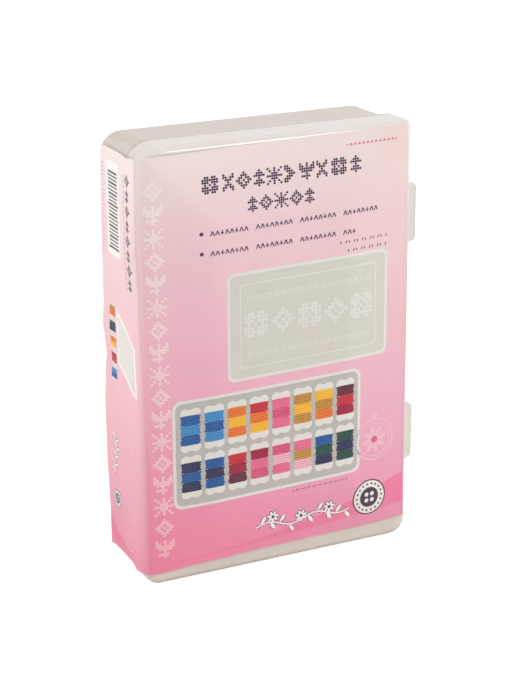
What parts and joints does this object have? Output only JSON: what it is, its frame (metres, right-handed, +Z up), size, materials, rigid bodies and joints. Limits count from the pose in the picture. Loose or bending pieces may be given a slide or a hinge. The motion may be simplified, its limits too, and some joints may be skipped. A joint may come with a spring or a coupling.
{
  "type": "embroidery thread box",
  "caption": "Flat frosted plastic thread box with a hinged lid, side clasps, a printed card wrap, inner compartments and flat card bobbins standing on edge.",
  "frame": {"origin": "on the lower end face that the box stands on, in the middle of the box's width and depth", "axes": "+Z up along the box's length, +X to the clasps, -X to the film hinge, -Y to the lid's front, +Y to the tray's floor"},
  "size_m": [0.1318, 0.0426, 0.18],
  "materials": {
    "frosted_plastic": "satin",
    "clasp_plastic": "satin",
    "printed_card": "satin",
    "bobbin_card": "matte"
  },
  "bodies": {
    "tray": {"tray": "frosted_plastic", "wrap_back": "printed_card", "bobbin_01": "bobbin_card", "bobbin_02": "bobbin_card", "bobbin_03": "bobbin_card", "bobbin_04": "bobbin_card", "bobbin_05": "bobbin_card", "bobbin_06": "bobbin_card", "bobbin_07": "bobbin_card", "bobbin_08": "bobbin_card", "bobbin_09": "bobbin_card", "bobbin_10": "bobbin_card", "bobbin_11": "bobbin_card", "bobbin_12": "bobbin_card", "bobbin_13": "bobbin_card", "bobbin_14": "bobbin_card", "bobbin_15": "bobbin_card", "bobbin_16": "bobbin_card", "bobbin_17": "bobbin_card", "bobbin_18": "bobbin_card", "bobbin_19": "bobbin_card", "bobbin_20": "bobbin_card", "bobbin_21": "bobbin_card", "bobbin_22": "bobbin_card", "bobbin_23": "bobbin_card", "bobbin_24": "bobbin_card", "bobbin_25": "bobbin_card"},
    "lid": {"lid": "frosted_plastic", "wrap_front": "printed_card"},
    "clasp_lower": {"clasp_lower": "clasp_plastic"},
    "clasp_upper": {"clasp_upper": "clasp_plastic"}
  },
  "joints": [
    {"name": "lid_hinge", "type": "hinge", "parent": "tray", "child": "lid", "pos_m": [-0.06103, -0.0045, 0.09], "axis": [0, 0, -1], "range_deg": [0, 170]},
    {"name": "clasp_lower_hinge", "type": "hinge", "parent": "lid", "child": "clasp_lower", "pos_m": [0.06048, -0.0049, 0.0407], "axis": [0, 0, 1], "range_deg": [0, 90]},
    {"name": "clasp_upper_hinge", "type": "hinge", "parent": "lid", "child": "clasp_upper", "pos_m": [0.06048, -0.0049, 0.1379], "axis": [0, 0, 1], "range_deg": [0, 90]}
  ]
}
